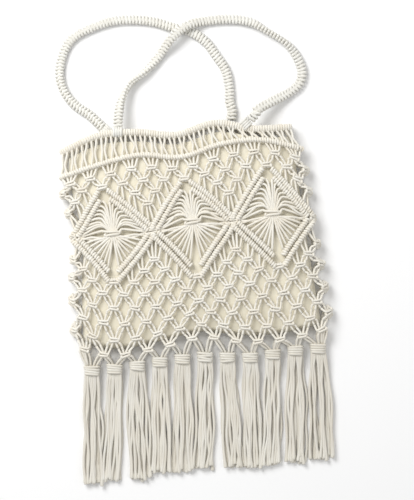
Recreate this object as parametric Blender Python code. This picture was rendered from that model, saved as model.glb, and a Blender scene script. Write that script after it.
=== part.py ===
"""A fringed macrame bag lying flat on its back: two knotted net walls round a cotton lining,
corded bands at the mouth, two sennit handles and a row of gathered tassels.

Metres, +Z up. The bag lies in the XY plane with its handles towards +Y and its front wall up.
The net is drawn on a lattice: a column is one square knot wide, a row is half a knot repeat high.
"""

import bisect
import math

import bmesh
import bpy
import numpy as np
from mathutils import Vector
from mathutils.geometry import delaunay_2d_cdt

# Driving sizes of the bag
BAG_WIDTH = 0.300  # the twelve knot columns of one wall, from side fold to side fold
BAG_HEIGHT = 0.271  # from the tassel knots up to the mouth
BAG_DEPTH = 0.030  # how high the lying bag stands at the diamonds
MIDDLE_COLUMN = 5.5
HALF_COLUMNS = 6.0
FITTING_GAP = 0.0003  # between pieces that touch

# The knotted wall
NET_WALL = 0.007
RELIEF = 0.0018  # how far the corded ridges stand above the knots
BAND_WIDTH = 0.0090  # the corded band round the mouth, seen from the front
BAND_THICK = 0.0080
BORDER_WIDTH = 0.0145  # the double ridge round each diamond
GAP_HALF_WIDTH = 0.0068  # the lozenge between four knots
GAP_HALF_HEIGHT = 0.0088
SLOT_WIDTH = 0.0050  # between the pairs of straight cords under the mouth
MEDALLION_KNOT = 0.0290  # the knot that gathers the cords in the middle of a diamond
MEDALLION_KNOT_HEIGHT = 0.0080
WEB = 0.0035  # the least cord left between a gap and a ridge

# The lining
LINING_WALL = 0.0010
LINING_CLEAR = 0.0012

LINING_COLUMNS = (-0.05, 0.3, 1.0, 2.2, 4.0, 5.5, 7.0, 8.8, 10.0, 10.7, 11.05)

# The handles
HANDLE_WIDTH = 0.0120
HANDLE_THICK = 0.0080
HANDLE_REACH = 0.145  # from the mouth to the top of the loops
HANDLE_RISE = 0.0012  # spare height where one handle crosses the other

# The tassels
TASSEL_LENGTH = 0.136
TASSEL_KNOT_WIDTH = 0.0205
TASSEL_KNOT_HEIGHT = 0.0115
TASSEL_KNOT_THICK = 0.0150
FRINGE_THICK = 0.0085
LOCK_GAP = 0.0008
TASSEL_FOOT_WIDTH = 0.0270
LOCKS = 5

# Where the tassel knots lie, with the middle of handles, bag and fringe over the origin
TASSEL_LINE_Y = -(0.944 * BAG_HEIGHT + 0.953 * HANDLE_REACH + HANDLE_WIDTH / 2 - TASSEL_LENGTH) / 2

# Lattice rows of the landmarks, counted down from the mouth
MOUTH_ROW = 0.0
BAND_ROW = 2.0
UPPER_ROWS = (3, 4, 5, 6)
DIAMOND_TOP_ROW = 4.3
JOINT_ROW = 8.5
DIAMOND_FOOT_ROW = 13.1
LOWER_ROWS = (11, 12, 13, 14, 15, 16, 17, 18)
TASSEL_ROW = 19.0
LINING_DROP = 0.011  # how far its edge lies below the mouth
LINING_ROWS = (3.5, 6.0, 8.5, 11.5, 14.5, 16.5, 17.6)
DIAMOND_COLUMNS = (1.5, 5.5, 9.5)
DIAMOND_HALF_SPAN = 2.0

MOUTH_COLUMNS = [-0.5 + 0.5 * i for i in range(25)]
PITCH = BAG_WIDTH / (2 * HALF_COLUMNS)
ROW_STEP = BAG_HEIGHT / TASSEL_ROW
FRONT, BACK = "front", "back"

# One line for each level of the lying bag. middle is a share of BAG_WIDTH from the centre line,
# pitch a share of PITCH, edge the part of a column that still shows before the side fold, lift a
# share of BAG_DEPTH, and y0 to y6 are heights above the tassel line at the seven stations, as
# shares of BAG_HEIGHT.
STATIONS = (-0.5, 1.5, 3.5, 5.5, 7.5, 9.5, 11.5)
LEVEL_COLUMNS = ("row", "middle", "pitch", "edge", "lift", "y0", "y1", "y2", "y3", "y4", "y5", "y6")
LEVELS = (
    (0.0, -0.074, 0.920, 1.00, 0.80, 0.912, 0.988, 1.002, 0.991, 1.043, 1.018, 1.026),
    (2.0, -0.055, 0.966, 1.00, 0.82, 0.801, 0.859, 0.902, 0.892, 0.950, 0.968, 0.928),
    (4.0, -0.041, 0.978, 0.90, 0.83, 0.730, 0.761, 0.792, 0.799, 0.839, 0.860, 0.836),
    (8.5, -0.006, 0.955, 0.95, 0.83, 0.535, 0.557, 0.566, 0.611, 0.610, 0.646, 0.626),
    (14.0, 0.012, 1.003, 0.95, 0.81, 0.314, 0.291, 0.291, 0.314, 0.330, 0.358, 0.372),
    (18.0, 0.034, 1.056, 0.75, 0.58, 0.058, 0.018, 0.055, 0.100, 0.080, 0.097, 0.146),
    (19.0, 0.042, 1.087, 0.55, 0.46, -0.056, -0.044, -0.013, 0.009, 0.007, 0.038, 0.053),
)

# One line for each tassel from the left: how far its foot lies to the right of its knot, as a
# share of PITCH, its length as a share of TASSEL_LENGTH, and how far its foot spreads to the left
# and right, as shares of TASSEL_FOOT_WIDTH.
TASSEL_COLUMNS = ("foot_shift", "length", "left", "right")
TASSELS = (
    (0.15, 1.000, 0.56, 0.50),
    (-0.22, 0.985, 0.50, 0.50),
    (0.18, 1.000, 0.50, 0.50),
    (0.06, 0.975, 0.50, 0.50),
    (0.05, 0.995, 0.50, 0.50),
    (-0.10, 0.980, 0.50, 0.50),
    (0.34, 0.970, 0.50, 0.50),
    (0.12, 0.970, 0.50, 0.50),
    (-0.10, 0.975, 0.50, 0.50),
    (0.04, 0.985, 0.50, 0.50),
    (0.12, 0.975, 0.50, 0.63),
)

# The way of each handle, one line for each bend: across, as a share of BAG_WIDTH from the centre
# line; up, as a share of HANDLE_REACH above the mouth; and turn, how far the flat strap is rolled
# there, in quarter turns. The ends are worked out from the band that they are tied to.
HANDLE_COLUMNS = ("across", "up", "turn")
BACK_HANDLE_ENDS = (2.05, 8.30)  # lattice columns
BACK_HANDLE = (
    (-0.424, 0.162, 0.0),
    (-0.482, 0.243, 0.1),
    (-0.521, 0.342, 0.3),
    (-0.540, 0.443, 0.3),
    (-0.543, 0.533, 0.1),
    (-0.531, 0.654, 0.0),
    (-0.497, 0.784, 0.0),
    (-0.424, 0.874, 0.0),
    (-0.327, 0.940, 0.0),
    (-0.240, 0.950, 0.0),
    (-0.157, 0.930, 0.0),
    (-0.085, 0.884, 0.0),
    (-0.012, 0.844, 0.0),
    (0.046, 0.764, 0.0),
    (0.085, 0.654, 0.0),
    (0.124, 0.533, 0.0),
    (0.139, 0.383, 0.0),
    (0.141, 0.263, 0.0),
)
FRONT_HANDLE_ENDS = (2.48, 8.95)
FRONT_HANDLE = (
    (-0.293, 0.263, 0.5),
    (-0.259, 0.403, 1.0),
    (-0.201, 0.513, 0.6),
    (-0.152, 0.623, 0.2),
    (-0.104, 0.756, 0.0),
    (-0.060, 0.851, 0.0),
    (-0.012, 0.911, 0.0),
    (0.061, 0.944, 0.0),
    (0.138, 0.953, 0.0),
    (0.191, 0.945, 0.1),
    (0.240, 0.916, 0.4),
    (0.286, 0.858, 0.8),
    (0.344, 0.786, 0.9),
    (0.386, 0.714, 0.5),
    (0.417, 0.612, 0.2),
    (0.432, 0.509, 0.0),
    (0.420, 0.414, 0.0),
    (0.374, 0.335, 0.0),
    (0.310, 0.263, 0.0),
    (0.248, 0.185, 0.0),
)
HANDLE_LEAN = {FRONT: (0.1, 0.7), BACK: (-0.8, 0.0)}  # of the tied ends, to the right
SLOPE = 0.16  # the share of its length in which the front handle comes down to the floor
CROSSING_FLAT = 0.011  # how far on either side of the crossing the upper strap stays raised
CROSSING_SLOPE = 0.025
HANDLE_RINGS = 42
SECTION_SIDES = 8


def clear_scene():
    for old in list(bpy.data.objects):
        bpy.data.objects.remove(old)


def smooth(stations, values, at):
    """The value at a place between stations, on a curve through all of them."""
    last = len(stations) - 1
    i = min(max(bisect.bisect_right(stations, at) - 1, 0), last - 1)
    step = stations[i + 1] - stations[i]
    before, after = max(i - 1, 0), min(i + 2, last)
    slope_in = (values[i + 1] - values[before]) / (stations[i + 1] - stations[before])
    slope_out = (values[after] - values[i]) / (stations[after] - stations[i])
    t = (at - stations[i]) / step
    return (
        values[i] * (1 + 2 * t) * (1 - t) ** 2
        + values[i + 1] * t * t * (3 - 2 * t)
        + step * (slope_in * t * (1 - t) ** 2 - slope_out * t * t * (1 - t))
    )


LEVEL_ROWS = [line[0] for line in LEVELS]
LEVEL_VALUES = [np.array(line) for line in LEVELS]


def level(row):
    """The table's line at any row, by column name."""
    return dict(zip(LEVEL_COLUMNS, smooth(LEVEL_ROWS, LEVEL_VALUES, row)))


def wall_height(column, at, side):
    """The middle of a wall's thickness above the floor. The front sinks to meet the back at the sides."""
    share = min(abs(column - MIDDLE_COLUMN) / HALF_COLUMNS, 1.0)
    crown = BAG_DEPTH * at["lift"]
    thick = NET_WALL + (BAND_THICK - NET_WALL) * min(max(1.6 - at["row"], 0.0), 1.0) + FITTING_GAP
    seam = max(thick, 0.49 * crown)
    if side == FRONT:
        edge = seam + thick / 2
        return edge + (crown - edge) * math.sqrt(1 - share**6)
    edge = seam - thick / 2
    return NET_WALL / 2 + (edge - NET_WALL / 2) * share**20


def net_point(column, row, side=FRONT):
    """Where a lattice place lies, in the middle of the wall's thickness."""
    at = level(row)
    off = column - MIDDLE_COLUMN
    inner = min(max(off, 1 - HALF_COLUMNS), HALF_COLUMNS - 1)
    across = PITCH * at["pitch"] * (inner + at["edge"] * (off - inner))
    height = smooth(STATIONS, [at[f"y{i}"] for i in range(len(STATIONS))], column)
    return Vector(
        (
            BAG_WIDTH * at["middle"] + across,
            TASSEL_LINE_Y + BAG_HEIGHT * height,
            wall_height(column, at, side),
        )
    )


def material(name, colour, roughness):
    made = bpy.data.materials.new(name)
    made.use_nodes = True
    shader = made.node_tree.nodes["Principled BSDF"]
    shader.inputs["Base Color"].default_value = (*colour, 1.0)
    shader.inputs["Roughness"].default_value = roughness
    shader.inputs["Metallic"].default_value = 0.0
    return made


def finished(name, mesh, finish, smooth_faces=True):
    """Turns a bmesh into a named object."""
    bmesh.ops.recalc_face_normals(mesh, faces=mesh.faces)
    data = bpy.data.meshes.new(name)
    mesh.to_mesh(data)
    mesh.free()
    if smooth_faces:
        data.shade_smooth()
        data.set_sharp_from_angle(angle=math.radians(40))
    data.materials.append(finish)
    made = bpy.data.objects.new(name, data)
    bpy.context.scene.collection.objects.link(made)
    return made


def loft(rings):
    """A closed skin through rings of points, with both ends capped."""
    mesh = bmesh.new()
    rows = [[mesh.verts.new(point) for point in ring] for ring in rings]
    for first, second in zip(rows, rows[1:]):
        for i in range(len(first)):
            j = (i + 1) % len(first)
            mesh.faces.new((first[i], first[j], second[j], second[i]))
    for cap in (rows[0], rows[-1]):
        for i in range(len(cap) // 2 - 1):
            mesh.faces.new((cap[i], cap[i + 1], cap[-2 - i], cap[-1 - i]))
    return mesh


def strap_ring(centre, along, width, thick, roll):
    """One flat-bottomed ring of a strap, across the way it runs. roll is in radians."""
    across = along.cross(Vector((0, 0, 1))).normalized()
    up = across.cross(along).normalized()
    half_turn = math.pi / SECTION_SIDES
    grow = 1 / math.cos(half_turn)
    ring = []
    for i in range(SECTION_SIDES):
        angle = 2 * math.pi * i / SECTION_SIDES + half_turn
        a = grow * width / 2 * math.cos(angle)
        b = grow * thick / 2 * math.sin(angle)
        ring.append(
            centre
            + across * (a * math.cos(roll) - b * math.sin(roll))
            + up * (a * math.sin(roll) + b * math.cos(roll))
        )
    return ring


# The pierced walls


class Place:
    """A lattice place, with how much it is raised and, where something is seated, its own point."""

    def __init__(self, column, row, raised=0.0, seat=None):
        self.column = column
        self.row = row
        self.raised = raised
        self.seat = seat

    def flat(self):
        return Vector((self.column * PITCH, -self.row * ROW_STEP))


def inside(point, loop):
    """True if a flat point lies in a closed loop of flat points."""
    found = False
    for a, b in zip(loop, loop[1:] + loop[:1]):
        if (a.y > point.y) != (b.y > point.y):
            if point.x < a.x + (point.y - a.y) * (b.x - a.x) / (b.y - a.y):
                found = not found
    return found


def plate(name, side, outline, holes, crests, finish):
    """A wall of the lattice inside an outline, cut through at the holes and raised at the crests."""
    places, edges = [], []
    for run, closed in [(outline, True)] + [(h, True) for h in holes] + [(c, False) for c in crests]:
        first = len(places)
        places += run
        edges += [(i, i + 1) for i in range(first, len(places) - 1)]
        if closed:
            edges.append((len(places) - 1, first))
    flat = [place.flat() for place in places]
    points, _, faces, sources, _, _ = delaunay_2d_cdt(flat, edges, [], 0, 1e-7)
    border = [place.flat() for place in outline]
    cut = [[place.flat() for place in hole] for hole in holes]
    mesh = bmesh.new()
    raised = mesh.verts.layers.float.new("raised")
    corners = []
    for point, source in zip(points, sources):
        place = places[source[0]] if source else Place(point.x / PITCH, -point.y / ROW_STEP)
        where = net_point(place.column, place.row, side)
        if place.seat is not None:
            where.x, where.y = place.seat
        corner = mesh.verts.new(where - Vector((0, 0, NET_WALL / 2)))
        corner[raised] = place.raised
        corners.append(corner)
    for face in faces:
        centre = sum((points[i] for i in face), Vector((0, 0))) / len(face)
        if inside(centre, border) and not any(inside(centre, loop) for loop in cut):
            mesh.faces.new([corners[i] for i in face])
    loose = [corner for corner in mesh.verts if not corner.link_faces]
    bmesh.ops.delete(mesh, geom=loose, context="VERTS")
    grown = bmesh.ops.extrude_face_region(mesh, geom=mesh.faces[:], use_keep_orig=True)
    for corner in grown["geom"]:
        if isinstance(corner, bmesh.types.BMVert):
            corner.co.z += NET_WALL + RELIEF * corner[raised]
    return finished(name, mesh, finish, smooth_faces=False)


def diamond_sides(centre):
    """The four sides of one diamond as flat lines, each from its top or foot to a joint."""
    top = Place(centre, DIAMOND_TOP_ROW).flat()
    foot = Place(centre, DIAMOND_FOOT_ROW).flat()
    sides = []
    for tip in (top, foot):
        for direction in (-1, 1):
            joint = Place(centre + direction * DIAMOND_HALF_SPAN, JOINT_ROW).flat()
            sides.append((tip, joint))
    return sides


def border_half(t):
    """Half the width of the double ridge, which pinches towards the ends of a diamond's side."""
    return BORDER_WIDTH / 2 * (0.55 + 0.45 * min(1.0, 4 * min(t, 1 - t)))


def border_place(side, centre, t, share, spare=0.0, raised=0.0):
    """A place beside a diamond's side: share 1 is its inner edge, -1 its outer one."""
    tip, joint = side
    along = (joint - tip).normalized()
    inward = Vector((-along.y, along.x))
    middle = Place(centre, JOINT_ROW).flat()
    if (middle - tip).dot(inward) < 0:
        inward = -inward
    flat = tip.lerp(joint, t) + inward * (share * border_half(t) + spare)
    return Place(flat.x / PITCH, -flat.y / ROW_STEP, raised)


ALL_SIDES = [(side, centre) for centre in DIAMOND_COLUMNS for side in diamond_sides(centre)]


def room_from_ridges(place):
    """How far a place lies outside the nearest diamond's ridges, less than nothing on or inside one."""
    flat = place.flat()
    least = 1.0
    for (tip, joint), _ in ALL_SIDES:
        run = joint - tip
        t = min(max((flat - tip).dot(run) / run.length_squared, 0.0), 1.0)
        least = min(least, (flat - tip.lerp(joint, t)).length - border_half(t))
    for centre in DIAMOND_COLUMNS:
        rise = JOINT_ROW - DIAMOND_TOP_ROW if place.row < JOINT_ROW else DIAMOND_FOOT_ROW - JOINT_ROW
        off = abs(place.column - centre) / DIAMOND_HALF_SPAN + abs(place.row - JOINT_ROW) / rise
        if off < 1:
            return -1.0
    return least


def net_gap(column, row):
    """The lozenge between four knots, drawn in where a ridge is near, or None where there is no room."""
    middle = Place(column, row)
    if room_from_ridges(middle) < WEB + GAP_HALF_WIDTH / 2:
        return None
    corners = []
    for across, down in ((-1, 0), (0, 1), (1, 0), (0, -1)):
        reach = 1.0
        while True:
            corner = Place(
                column + reach * across * GAP_HALF_WIDTH / PITCH,
                min(row + reach * down * GAP_HALF_HEIGHT / ROW_STEP, TASSEL_ROW - 0.8),
            )
            if room_from_ridges(corner) >= WEB / 2 or reach < 0.3:
                break
            reach -= 0.05
        corners.append(corner)
    return corners


def leaf_gap(column, near_row, far_row):
    """The pointed gap between two diamonds, above or below their joint."""
    near, far = near_row, far_row
    half = GAP_HALF_WIDTH * 0.8 / PITCH
    return [
        Place(column, near),
        Place(column - half * 0.7, near + 0.55 * (far - near)),
        Place(column - half, far),
        Place(column + half, far),
        Place(column + half * 0.7, near + 0.55 * (far - near)),
    ]


def net_gaps():
    """Every lozenge and leaf of the net."""
    gaps = []
    for row in UPPER_ROWS + LOWER_ROWS:
        knots_on_whole_columns = row % 2 == 1 if row in UPPER_ROWS else row % 2 == 0
        first = 0.5 if knots_on_whole_columns else 1.0
        for i in range(11 if knots_on_whole_columns else 10):
            gap = net_gap(first + i, row)
            if gap:
                gaps.append(gap)
    for centre in DIAMOND_COLUMNS[1:]:
        joint = centre - DIAMOND_HALF_SPAN
        gaps.append(leaf_gap(joint, JOINT_ROW - 0.75, UPPER_ROWS[-1] + 0.62))
        gaps.append(leaf_gap(joint, JOINT_ROW + 0.80, LOWER_ROWS[0] - 0.62))
    return gaps


def row_below_mouth(column, down):
    """The lattice row that lies a length below the mouth line."""
    drop = net_point(column, MOUTH_ROW).y - net_point(column, BAND_ROW).y
    return MOUTH_ROW + down / drop * (BAND_ROW - MOUTH_ROW)


def slots(side):
    """The openings between the pairs of straight cords under the mouth."""
    half = SLOT_WIDTH / 2 / PITCH
    made = []
    for i in range(23):
        column = 0.5 * i
        top = []
        for across in (half, -half):
            seat = under_mouth(column, BAND_WIDTH / 2 + 0.6 * WEB, across * PITCH, side)
            top.append(Place(column + across, 0.62, seat=seat))
        low = BAND_ROW - 0.40
        made.append(top + [Place(column - half, low), Place(column + half, low)])
    return made


def side_windows(centre):
    """The two openings of a diamond, left and right of the cords gathered in its middle."""
    left_top, right_top, left_foot, right_foot = diamond_sides(centre)
    knot = MEDALLION_KNOT / 2 / PITCH
    notch = MEDALLION_KNOT_HEIGHT / 2 / ROW_STEP
    made = []
    for high_side, low_side, out in ((left_top, left_foot, -1), (right_top, right_foot, 1)):
        loop = [border_place(high_side, centre, t, 1) for t in (0.34, 0.66, 0.90)]
        loop += [border_place(low_side, centre, t, 1) for t in (0.90, 0.66, 0.34)]
        loop.append(Place(centre + out * knot * 0.8, JOINT_ROW + notch * 2.4))
        loop.append(Place(centre + out * knot, JOINT_ROW + notch))
        loop.append(Place(centre + out * knot, JOINT_ROW - notch))
        loop.append(Place(centre + out * knot * 0.8, JOINT_ROW - notch * 2.4))
        made.append(loop)
    return made


def ridge_crests():
    """The lines that lift the band under the straight cords and the double ridges of the diamonds."""
    crests = []
    for row, raised in ((BAND_ROW - 0.27, 0), (BAND_ROW - 0.12, 1), (BAND_ROW + 0.12, 1), (BAND_ROW + 0.27, 0)):
        crests.append([Place(column, row, raised) for column in range(0, 12)])
    steps = (0.14, 0.40, 0.66, 0.90)
    for side, centre in ALL_SIDES:
        crests.append([border_place(side, centre, t, 0.45, raised=1.0) for t in steps])
        crests.append([border_place(side, centre, t, 0.0, raised=0.35) for t in steps])
        crests.append([border_place(side, centre, t, -0.45, raised=1.0) for t in steps])
    reach = MEDALLION_KNOT * 0.36 / PITCH
    for centre in DIAMOND_COLUMNS:
        for down in (-0.12, 0.12):
            crests.append([Place(centre + reach * i, JOINT_ROW + down, raised=1.5) for i in (-1, 0, 1)])
    return crests


class TasselFrame:
    """Where a tassel hangs: its knot's middle, and the directions along and across it."""

    def __init__(self, index):
        shift, length, self.left, self.right = TASSELS[index]
        self.knot = net_point(index + 0.5, TASSEL_ROW)
        self.foot = self.knot + Vector((shift * PITCH, -length * TASSEL_LENGTH, 0))
        self.knot.z = self.foot.z = 0.0
        self.down = (self.foot - self.knot).normalized()
        lean = 0.35 * math.atan2(self.down.x, -self.down.y)
        self.knot_down = Vector((math.sin(lean), -math.cos(lean), 0))
        self.knot_across = Vector((math.cos(lean), math.sin(lean), 0))

    def knot_place(self, across, down):
        return self.knot + self.knot_across * across + self.knot_down * down


TASSEL_FRAMES = [TasselFrame(i) for i in range(len(TASSELS))]


def wall_outline(side):
    """Round one wall: under the mouth band, down the side folds and along the tassel knots."""
    low = BAND_WIDTH / 2 + FITTING_GAP
    top = [Place(column, 0.30, seat=under_mouth(column, low, 0.0, side)) for column in MOUTH_COLUMNS]
    rows = (2.0, 3.5, 5.0, 6.5, 8.5, 10.5, 12.5, 14.5, 16.5, 18.0)
    right = [Place(11.5, row) for row in rows]
    left = [Place(-0.5, row) for row in reversed(rows)]
    bottom = []
    seat_down = -(TASSEL_KNOT_HEIGHT / 2 + FITTING_GAP)
    for i in reversed(range(len(TASSELS))):
        for across in (0.5, -0.5):
            seat = TASSEL_FRAMES[i].knot_place(across * 0.86 * TASSEL_KNOT_WIDTH, seat_down)
            bottom.append(Place(i + 0.5 + across * 0.66, 18.62, seat=(seat.x, seat.y)))
        if i:
            bottom.append(Place(float(i), 18.38))
    return top + right + bottom + left


def mouth_point(column, side):
    return net_point(column, MOUTH_ROW, side)


def mouth_normal(column, side):
    """Across the mouth band, in the plane of the bag, towards the handles."""
    left, right = max(column - 0.5, -0.5), min(column + 0.5, 11.5)
    run = mouth_point(right, side) - mouth_point(left, side)
    return Vector((-run.y, run.x, 0)).normalized()


def under_mouth(column, down, across, side):
    """The floor-plan place a length below the mouth line and a length to its right."""
    normal = mouth_normal(column, side)
    place = mouth_point(column, side) - normal * down + Vector((normal.y, -normal.x, 0)) * across
    return (place.x, place.y)


def net_wall(side, finish):
    """One knotted wall of the bag."""
    fold_lines = []
    for column in (-0.22, 11.22):
        fold_lines.append([Place(column, row) for row in (1.2, 2.8, 4.2, 5.8, 7.5, 9.5, 11.5, 13.5, 15.5, 17.2)])
    for column in (0.12, 10.88):
        fold_lines.append([Place(column, row) for row in (2.6, 4.0, 5.4)])
        fold_lines.append([Place(column, row) for row in (11.6, 13.5, 15.5, 17.2)])
    crests = fold_lines + (ridge_crests() if side == FRONT else [])
    holes = slots(side) + net_gaps()
    for centre in DIAMOND_COLUMNS:
        holes += side_windows(centre)
    return plate(f"{side}_net", side, wall_outline(side), holes, crests, finish)


def mouth_band(side, finish):
    """The corded band that the straight cords hang from."""
    rings = []
    for column in MOUTH_COLUMNS:
        centre = mouth_point(column, side)
        centre.z = max(centre.z, BAND_THICK / 2)
        normal = mouth_normal(column, side)
        along = Vector((normal.y, -normal.x, 0))
        rings.append(strap_ring(centre, along, BAND_WIDTH, BAND_THICK, 0.0))
    return finished(f"{side}_mouth_band", loft(rings), finish)


# The handles


def support(roll):
    """Half the height of the strap when it is rolled."""
    half_turn = math.pi / SECTION_SIDES
    grow = 1 / math.cos(half_turn)
    heights = []
    for i in range(SECTION_SIDES):
        angle = 2 * math.pi * i / SECTION_SIDES + half_turn
        a = grow * HANDLE_WIDTH / 2 * math.cos(angle)
        b = grow * HANDLE_THICK / 2 * math.sin(angle)
        heights.append(abs(a * math.sin(roll) + b * math.cos(roll)))
    return max(heights)


def mouth_y():
    """The height of the mouth in the middle of the bag, which the handles are measured from."""
    return TASSEL_LINE_Y + BAG_HEIGHT


def handle_way(table, ends, side):
    """The bends of a handle in order, tied ends included, as (point on the floor plan, roll)."""
    low = BAND_WIDTH / 2 + 3 * FITTING_GAP

    def end(column, lean):
        foot = mouth_point(column, side)
        normal = mouth_normal(column, side)
        leaning = (normal + lean * Vector((normal.y, -normal.x, 0))).normalized()
        return foot, normal, leaning

    way = []
    for column, lean, last in ((ends[0], HANDLE_LEAN[side][0], False), (ends[1], HANDLE_LEAN[side][1], True)):
        foot, normal, leaning = end(column, lean)
        clear = low + HANDLE_WIDTH / 2 * math.sqrt(max(0.0, 1 - leaning.dot(normal) ** 2))
        start = foot + leaning * (clear / leaning.dot(normal))
        pair = [(start, 0.0), (start + leaning * 0.012, 0.0)]
        way.append(pair[::-1] if last else pair)
    middle = [
        (Vector((BAG_WIDTH * across, mouth_y() + HANDLE_REACH * up, 0)), turn * math.pi / 2)
        for across, up, turn in table
    ]
    return way[0] + middle + way[1]


def handle_plan(side, table, ends):
    """The middle of a handle on the floor plan and its roll, ring by ring, with its length."""
    way = handle_way(table, ends, side)
    lengths = [0.0]
    for (a, _), (b, _) in zip(way, way[1:]):
        lengths.append(lengths[-1] + (b - a).to_2d().length)
    points = [point for point, _ in way]
    rolls = [roll for _, roll in way]
    rings = []
    for i in range(HANDLE_RINGS):
        at = lengths[-1] * i / (HANDLE_RINGS - 1)
        rings.append((smooth(lengths, points, at), smooth(lengths, rolls, at)))
    return rings, lengths[-1]


def crossing_share():
    """How far along the front handle it crosses the back one, as a share of its length."""
    back, _ = handle_plan(BACK, BACK_HANDLE, BACK_HANDLE_ENDS)
    front, _ = handle_plan(FRONT, FRONT_HANDLE, FRONT_HANDLE_ENDS)
    nearest = []
    for i in range(HANDLE_RINGS // 8, HANDLE_RINGS - HANDLE_RINGS // 8):
        gap = min((front[i][0] - point).to_2d().length for point, _ in back)
        nearest.append((gap, i / (HANDLE_RINGS - 1)))
    return min(nearest)[1]


def eased(share):
    share = min(max(share, 0.0), 1.0)
    return share * share * (3 - 2 * share)


def handle(side, table, ends, finish):
    """One strap, lying on the floor from one tied end round to the other."""
    plan, length = handle_plan(side, table, ends)
    crossing = crossing_share()
    tied_height = mouth_point(ends[0], FRONT).z - HANDLE_THICK / 2
    centres = []
    for i, (centre, roll) in enumerate(plan):
        centre.z = support(roll)
        if side == FRONT:
            share = i / (HANDLE_RINGS - 1)
            centre.z += tied_height * eased(1 - min(share, 1 - share) / SLOPE)
            away = length * abs(share - crossing) - CROSSING_FLAT
            centre.z += (HANDLE_THICK + HANDLE_RISE) * eased(1 - away / CROSSING_SLOPE)
        centres.append(centre)
    rings = []
    for i, centre in enumerate(centres):
        along = centres[min(i + 1, HANDLE_RINGS - 1)] - centres[max(i - 1, 0)]
        rings.append(strap_ring(centre, along.normalized(), HANDLE_WIDTH, HANDLE_THICK, plan[i][1]))
    return finished(f"{side}_handle", loft(rings), finish)


# The lining


def lining_ring(row, inset):
    """One level of the lining, its front and back sheets in one loop. inset shrinks it for the inner side."""
    columns = LINING_COLUMNS
    clear = NET_WALL / 2 + LINING_CLEAR + inset
    front, back = [], []
    for i, column in enumerate(columns):
        shift = inset * ((i == 0) - (i == len(columns) - 1))
        down = row_below_mouth(column, LINING_DROP) if row == MOUTH_ROW else row
        for side, sheet, sign in ((FRONT, front, -1), (BACK, back, 1)):
            point = net_point(column, down, side)
            point.x += shift
            point.z += sign * clear
            sheet.append(point)
    return front + back[::-1]


def lining(finish):
    """A flat cotton pouch, open at the top, between the two net walls."""
    rows = (MOUTH_ROW,) + LINING_ROWS
    outer = [lining_ring(row, 0.0) for row in rows]
    inner = [lining_ring(row, LINING_WALL) for row in rows]
    for point in inner[-1]:
        point.y += LINING_WALL
    return finished("lining", loft(inner[::-1] + outer), finish)


# The tassels


def tassel(index, finish):
    """Cords gathered by a knot under the bag, with their loose ends in locks."""
    frame = TASSEL_FRAMES[index]
    feet = [f.foot.x for f in TASSEL_FRAMES]
    room_left = (feet[index] - feet[index - 1]) / 2 if index else TASSEL_FOOT_WIDTH
    room_right = (feet[index + 1] - feet[index]) / 2 if index + 1 < len(feet) else TASSEL_FOOT_WIDTH
    left = -min(TASSEL_FOOT_WIDTH * frame.left, room_left - LOCK_GAP)
    right = min(TASSEL_FOOT_WIDTH * frame.right, room_right - LOCK_GAP)

    def knot_ring(down, width, low, high):
        ring = []
        for height, order in ((low, range(LOCKS + 1)), (high, reversed(range(LOCKS + 1)))):
            for i in order:
                share = 2 * i / LOCKS - 1
                bow = 0.0016 * share * share
                point = frame.knot_place(width / 2 * share, down)
                point.z = height + (bow if height == low else -bow)
                ring.append(point)
        return ring

    half = TASSEL_KNOT_HEIGHT / 2
    rings = [
        knot_ring(-half, 0.90 * TASSEL_KNOT_WIDTH, 0.0012, TASSEL_KNOT_THICK - 0.0012),
        knot_ring(0.0, TASSEL_KNOT_WIDTH, 0.0, TASSEL_KNOT_THICK),
        knot_ring(half, 0.84 * TASSEL_KNOT_WIDTH, 0.0010, TASSEL_KNOT_THICK - 0.0022),
    ]
    mesh = bmesh.new()
    rows = [[mesh.verts.new(point) for point in ring] for ring in rings]
    count = len(rows[0])
    for first, second in zip(rows, rows[1:]):
        for i in range(count):
            j = (i + 1) % count
            mesh.faces.new((first[i], first[j], second[j], second[i]))
    mesh.faces.new(rows[0])
    cells = []
    for i in range(LOCKS):
        low_left, low_right = rows[-1][i], rows[-1][i + 1]
        high_right, high_left = rows[-1][count - 2 - i], rows[-1][count - 1 - i]
        cells.append(mesh.faces.new((low_left, low_right, high_right, high_left)))
    mesh.normal_update()
    bmesh.ops.inset_individual(mesh, faces=cells, thickness=LOCK_GAP / 2)
    for i, cell in enumerate(cells):
        grow_lock(mesh, cell, frame, i, left, right)
    return finished(f"tassel_{index + 1:02d}", mesh, finish, smooth_faces=False)


def grow_lock(mesh, root, frame, i, left, right):
    """Draws one lock down from its cell under the knot to the foot of the fringe."""
    middle = root.calc_center_median()
    step = (right - left) / LOCKS
    ragged = 0.0025 * math.sin(2.4 * i + frame.knot.x * 90)
    routes = {}
    for corner in root.verts:
        on_right = (corner.co - middle).dot(frame.knot_across) > 0
        is_high = corner.co.z > middle.z
        across = left + step * (i + on_right) + LOCK_GAP * (0.5 - on_right)
        end = frame.foot + Vector((across, ragged, FRINGE_THICK * is_high))
        routes[tuple(corner.co)] = (corner.co.copy(), end)
    face = root
    for t in (0.18, 0.55, 1.0):
        grown = bmesh.ops.extrude_discrete_faces(mesh, faces=[face])["faces"][0]
        settle = min(1.0, t / 0.55)
        moved = {}
        for corner in grown.verts:
            start, end = routes[tuple(corner.co)]
            corner.co = start.lerp(end, t)
            corner.co.z = start.z + (end.z - start.z) * settle
            moved[tuple(corner.co)] = (start, end)
        routes = moved
        face = grown


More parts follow.
